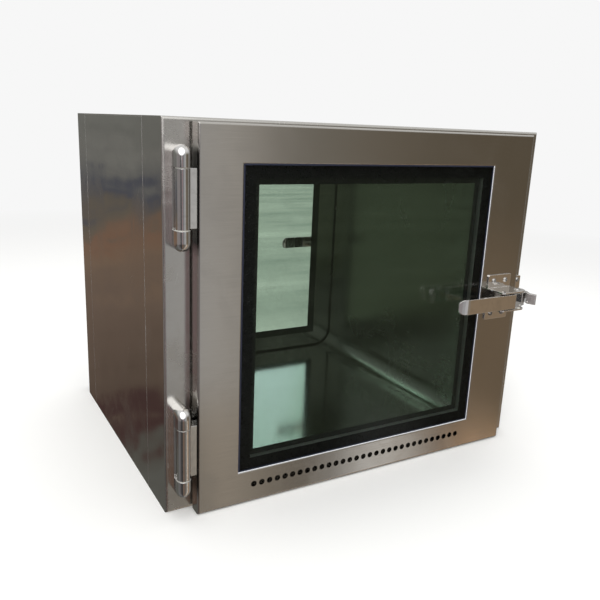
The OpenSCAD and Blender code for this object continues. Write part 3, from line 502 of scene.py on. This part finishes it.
def pale_floor():
    """Pale ground that fades into the backdrop far away, and glows in streaky tones through glass.

    Through glass it glows with painted light behind the box on the latch side, and painted shade
    elsewhere.
    """
    material, g, at = new_material("pale_floor")
    place = g.apart(at["Object"])
    ray = g.add("ShaderNodeLightPath").outputs
    cloud = g.noise(g.stretched(at["Object"], STREAK_STRETCH), 1.1, 4.0, roughness=0.6)
    streaks = g.spread(cloud, 0.35, 0.65, 0.0, 1.0)
    # Painted light: the floor behind the box on the latch side glows bright through glass.
    lit_side = g.times(g.spread(place["X"], 0.04, 0.16, 0.0, 1.0),
                        g.spread(place["Y"], 0.2, 0.4, 0.0, 1.0))
    behind = g.mix(lit_side, g.mix(streaks, *SHADY_GROUND), g.mix(streaks, *LIT_GROUND))
    lit = g.add("ShaderNodeBsdfDiffuse", {"Color": FLOOR_TONE})
    far = g.add("ShaderNodeEmission", {"Color": BACKDROP})
    through = g.add("ShaderNodeEmission", {"Color": behind})
    reach = g.add("ShaderNodeVectorMath", {0: at["Object"]}, operation="LENGTH").outputs["Value"]
    faded = g.times(g.spread(reach, 1.2, 3.2, 0.0, 1.0), ray["Is Camera Ray"])
    shown = g.add("ShaderNodeMixShader", {0: faded, 1: lit.outputs[0], 2: far.outputs[0]})
    seen = g.add("ShaderNodeMixShader", {0: ray["Is Transmission Ray"], 1: shown.outputs[0],
                                         2: through.outputs[0]})
    g.add("ShaderNodeOutputMaterial", {"Surface": seen.outputs[0]})
    return material


def make_floor():
    """The level floor under the box.  Metal mirrors the room instead of it."""
    floor = bpy.data.objects.new("floor", floor_mesh())
    floor.data.materials.append(pale_floor())
    bpy.context.scene.collection.objects.link(floor)
    floor.visible_glossy = False


# ---------------------------------------------------------------- the room around the box

# Tones by the turn in degrees from straight ahead of the front door, + to the right: first
# level with the box, then well below it.  Red, green and blue follow each turn.
WALL_TONES = (
    (-180, (0.12, 0.12, 0.11)), (-152, (0.05, 0.05, 0.05)), (-142, (0.06, 0.06, 0.06)),
    (-134, (0.32, 0.32, 0.32)), (-114, (0.36, 0.36, 0.36)), (-104, (0.27, 0.255, 0.25)),
    (-62, (0.24, 0.215, 0.215)), (-54, (0.30, 0.28, 0.28)), (-49, (0.04, 0.04, 0.04)),
    (-36, (0.04, 0.04, 0.04)), (-33, (0.30, 0.29, 0.29)), (-27, (0.26, 0.25, 0.25)),
    (-25.5, (0.25, 0.235, 0.235)), (-24.2, (0.42, 0.15, 0.19)), (-22.4, (0.42, 0.15, 0.19)),
    (-21, (0.27, 0.25, 0.255)), (-8, (0.20, 0.195, 0.195)), (5, (0.38, 0.385, 0.395)),
    (19.5, (0.39, 0.39, 0.395)), (21.5, (0.54, 0.525, 0.50)), (24.5, (0.48, 0.455, 0.42)),
    (27, (0.305, 0.285, 0.255)), (30, (0.235, 0.22, 0.19)), (36, (0.195, 0.168, 0.132)),
    (43, (0.150, 0.125, 0.092)), (49, (0.140, 0.112, 0.076)), (60, (0.14, 0.12, 0.095)),
    (72, (0.25, 0.24, 0.225)), (125, (0.27, 0.265, 0.255)), (150, (0.18, 0.18, 0.17)),
    (180, (0.12, 0.12, 0.11)))
LOW_TONES = (
    (-180, (0.12, 0.12, 0.11)), (-150, (0.07, 0.07, 0.07)), (-110, (0.20, 0.20, 0.20)),
    (-70, (0.12, 0.11, 0.11)), (-49, (0.04, 0.04, 0.04)), (-36, (0.04, 0.04, 0.04)),
    (-32, (0.17, 0.14, 0.12)), (-20, (0.20, 0.125, 0.09)), (0, (0.14, 0.125, 0.11)),
    (18, (0.18, 0.17, 0.155)), (20.8, (0.21, 0.20, 0.18)), (21.3, (0.48, 0.41, 0.33)),
    (24, (0.43, 0.38, 0.32)), (28, (0.25, 0.22, 0.18)), (33, (0.13, 0.11, 0.09)),
    (35, (0.42, 0.41, 0.39)), (37.5, (0.95, 0.94, 0.92)), (40, (0.78, 0.76, 0.72)),
    (42, (0.48, 0.45, 0.40)), (43.4, (0.10, 0.060, 0.038)), (45.2, (0.10, 0.060, 0.038)),
    (46.0, (1.05, 0.70, 0.45)), (50, (0.50, 0.34, 0.20)), (62, (0.22, 0.16, 0.11)),
    (76, (0.27, 0.255, 0.235)), (125, (0.27, 0.265, 0.255)), (180, (0.12, 0.12, 0.11)))
# Tones behind on the hinge side, by the height of the direction.
SIDE_TONES = (
    (-0.50, (0.12, 0.12, 0.108)), (-0.455, (0.10, 0.095, 0.082)), (-0.435, (0.075, 0.045, 0.040)),
    (-0.405, (0.065, 0.036, 0.034)), (-0.385, (0.11, 0.080, 0.062)), (-0.25, (0.165, 0.120, 0.093)),
    (-0.195, (0.20, 0.140, 0.100)), (-0.160, (0.21, 0.125, 0.085)), (-0.150, (0.15, 0.125, 0.098)),
    (-0.125, (0.13, 0.115, 0.095)), (-0.115, (0.080, 0.084, 0.110)), (-0.100, (0.085, 0.088, 0.105)),
    (-0.080, (0.16, 0.158, 0.148)), (-0.045, (0.20, 0.197, 0.182)), (-0.010, (0.16, 0.16, 0.147)),
    (0.10, (0.24, 0.24, 0.22)))
LOW_FROM = (-0.425, -0.380)                # heights between which the low tones give way
CLOUD_STRETCH = (9.0, 9.0, 20.0)
CEILING = colour(0.78, 0.78, 0.77)
WARM_WAY = (0.681, -0.681, -0.27)          # the way to a warm patch, low in front on the right
WARM_TONE = colour(0.215, 0.158, 0.104)
HIGH_WINDOW = (-0.42, -0.62, 0.66)         # the way to a bright high window, in front on the left
WINDOW_WHITE = colour(1.80, 1.80, 1.80)
OUTLOOK = colour(0.47, 0.54, 0.48)         # beyond the rear window, low down
SKY_SIDE = colour(0.64, 0.86, 0.74)
WINDOW_SKY = colour(1.05, 1.23, 1.33)
SOFT_LIGHT_TONE = colour(0.62, 0.62, 0.61)
CHAMBER_DIM = 0.78                         # how far the room is dimmed as the glass and chamber show it
FRONT_DIM = 0.6                            # how far it is dimmed again out of the front door's glass


def by_turn(g, share, tones):
    """The tone that a share of the whole turn picks from a row of (degrees, tone)."""
    return g.bands(share, [(degrees / 360.0 + 0.5, colour(*tone)) for degrees, tone in tones])


def room_tones(g, way, parts):
    """The room by direction: walls by turn, heights behind on the left, ceiling, high window."""
    turn = g.math("ARCTAN2", parts["X"], g.times(parts["Y"], -1.0))
    share = g.plus(g.math("DIVIDE", turn, math.tau), 0.5)
    cloud = g.noise(g.stretched(way, CLOUD_STRETCH), 1.3, 4.0, roughness=0.6)
    uneven = g.plus(parts["Z"], g.spread(cloud, 0.3, 0.7, -0.02, 0.02))
    room = g.mix(g.spread(uneven, *LOW_FROM, 1.0, 0.0), by_turn(g, share, WALL_TONES),
                 by_turn(g, share, LOW_TONES))
    room = g.mix(g.spread(g.dot(way, WARM_WAY), 0.985, 0.998, 0.0, 0.9), room, WARM_TONE)
    height = g.plus(parts["Z"], g.spread(cloud, 0.3, 0.7, -0.045, 0.045))
    side = g.bands(g.plus(height, 0.5), [(z + 0.5, colour(*tone)) for z, tone in SIDE_TONES])
    behind_left = g.times(g.spread(parts["Y"], 0.15, 0.40, 0.0, 1.0),
                          g.spread(parts["X"], -0.05, 0.12, 1.0, 0.0))
    room = g.mix(behind_left, room, side)
    room = g.mix(g.spread(parts["Z"], 0.12, 0.55, 0.0, 1.0), room, CEILING)
    return g.mix(g.spread(g.dot(way, HIGH_WINDOW), 0.70, 0.80, 0.0, 1.0), room, WINDOW_WHITE)


def outlook_tones(g, parts):
    """What lies beyond the rear window: pale ground, then sky with a bright band on the right."""
    edge = g.plus(parts["X"], g.times(parts["Z"], 0.35))
    bright = g.times(g.spread(edge, 0.584, 0.612, 1.0, 0.35),
                     g.spread(parts["Z"], 0.38, 0.46, 1.0, 0.65))
    bright = g.times(bright, g.spread(parts["X"], 0.22, 0.40, 0.0, 1.0))
    sky = g.mix(bright, SKY_SIDE, WINDOW_SKY)
    return g.mix(g.spread(parts["Z"], 0.06, 0.28, 0.0, 1.0), OUTLOOK, sky)


def make_world():
    """A soft room, set by direction: what the steel mirrors, and what the glass shows behind it.

    Rays through the glass see the outlook straight behind and on the right, and a dimmer room
    elsewhere.  Smooth glass mirrors the dimmer room too.  Rough surfaces are lit by one even
    tone, and the camera itself sees a pale backdrop.
    """
    world = bpy.data.worlds.new("soft_room")
    bpy.context.scene.world = world
    world.use_nodes = True
    g = Graph(world.node_tree)
    way = g.add("ShaderNodeTexCoord").outputs["Generated"]
    parts = g.apart(way)
    ray = g.add("ShaderNodeLightPath").outputs
    through = ray["Is Transmission Ray"]

    lean = g.plus(parts["X"], g.spread(parts["Z"], 0.42, 0.60, 0.0, 0.22))
    outside = g.spread(lean, -0.26, 0.12, 0.0, 1.0)
    to_back = g.times(g.spread(parts["Y"], 0.2, 0.5, 0.0, 1.0), through)
    room = g.mix(g.times(to_back, outside), room_tones(g, way, parts), outlook_tones(g, parts))

    inward = g.times(g.spread(parts["Y"], 0.1, 0.3, 0.0, 1.0), g.minus(1.0, outside))
    to_front = g.spread(parts["Y"], 0.0, 0.1, 1.0, 0.0)
    in_chamber = g.times(g.larger(inward, to_front), through)
    in_glass = g.times(ray["Is Singular Ray"], g.minus(1.0, through))
    room = g.mix(g.times(g.larger(in_glass, in_chamber), CHAMBER_DIM), room, BLACK)
    room = g.mix(g.times(g.times(to_front, through), FRONT_DIM), room, BLACK)

    room = g.mix(ray["Is Diffuse Ray"], room, SOFT_LIGHT_TONE)
    seen = g.mix(ray["Is Camera Ray"], room, BACKDROP)
    backdrop = g.add("ShaderNodeBackground", {"Color": seen, "Strength": 1.0})
    g.add("ShaderNodeOutputWorld", {"Surface": backdrop.outputs[0]})


# ---------------------------------------------------------------- lamps

BOX_MIDDLE = (0.0, 0.0, 0.28)


def soft_light(name, place, size, power, tint):
    """A square lamp that faces the box; metal mirrors the room and not the lamp."""
    lamp = bpy.data.lights.new(name, "AREA")
    lamp.shape = "SQUARE"
    lamp.size = size
    lamp.energy = power
    lamp.color = tint
    light = bpy.data.objects.new(name, lamp)
    light.location = place
    light.rotation_euler = (Vector(BOX_MIDDLE) - Vector(place)).to_track_quat("-Z", "Y").to_euler()
    light.visible_glossy = False
    light.visible_transmission = False
    bpy.context.scene.collection.objects.link(light)


make_floor()
make_world()
soft_light("key", (-2.2, -2.6, 2.8), 1.6, 70.0, (1.0, 0.99, 0.97))
soft_light("overhead", (0.2, 0.2, 3.2), 2.6, 60.0, (1.0, 1.0, 1.0))

# ---------------------------------------------------------------- camera

CAMERA_PLACE = Vector((-0.6113, -1.0847, 0.5607))
CAMERA_RIGHT = Vector((0.86972, -0.49182, 0.04129))
CAMERA_FORWARD = Vector((0.48503, 0.83622, -0.25588))
FOCAL_SHARE = 660.8 / 600.0                # focal length over the picture's width
SENSOR = 36.0


def make_camera():
    """The camera: its three axes are set from its right and forward directions, made square."""
    forward = CAMERA_FORWARD.normalized()
    right = (CAMERA_RIGHT - CAMERA_RIGHT.dot(forward) * forward).normalized()
    up = right.cross(forward)
    data = bpy.data.cameras.new("camera")
    data.sensor_width = SENSOR
    data.lens = SENSOR * FOCAL_SHARE
    camera = bpy.data.objects.new("camera", data)
    turn = Matrix((right, up, -forward)).transposed().to_4x4()
    camera.matrix_world = Matrix.Translation(CAMERA_PLACE) @ turn
    bpy.context.scene.collection.objects.link(camera)
    bpy.context.scene.camera = camera


make_camera()
bpy.context.scene.view_settings.view_transform = "Standard"
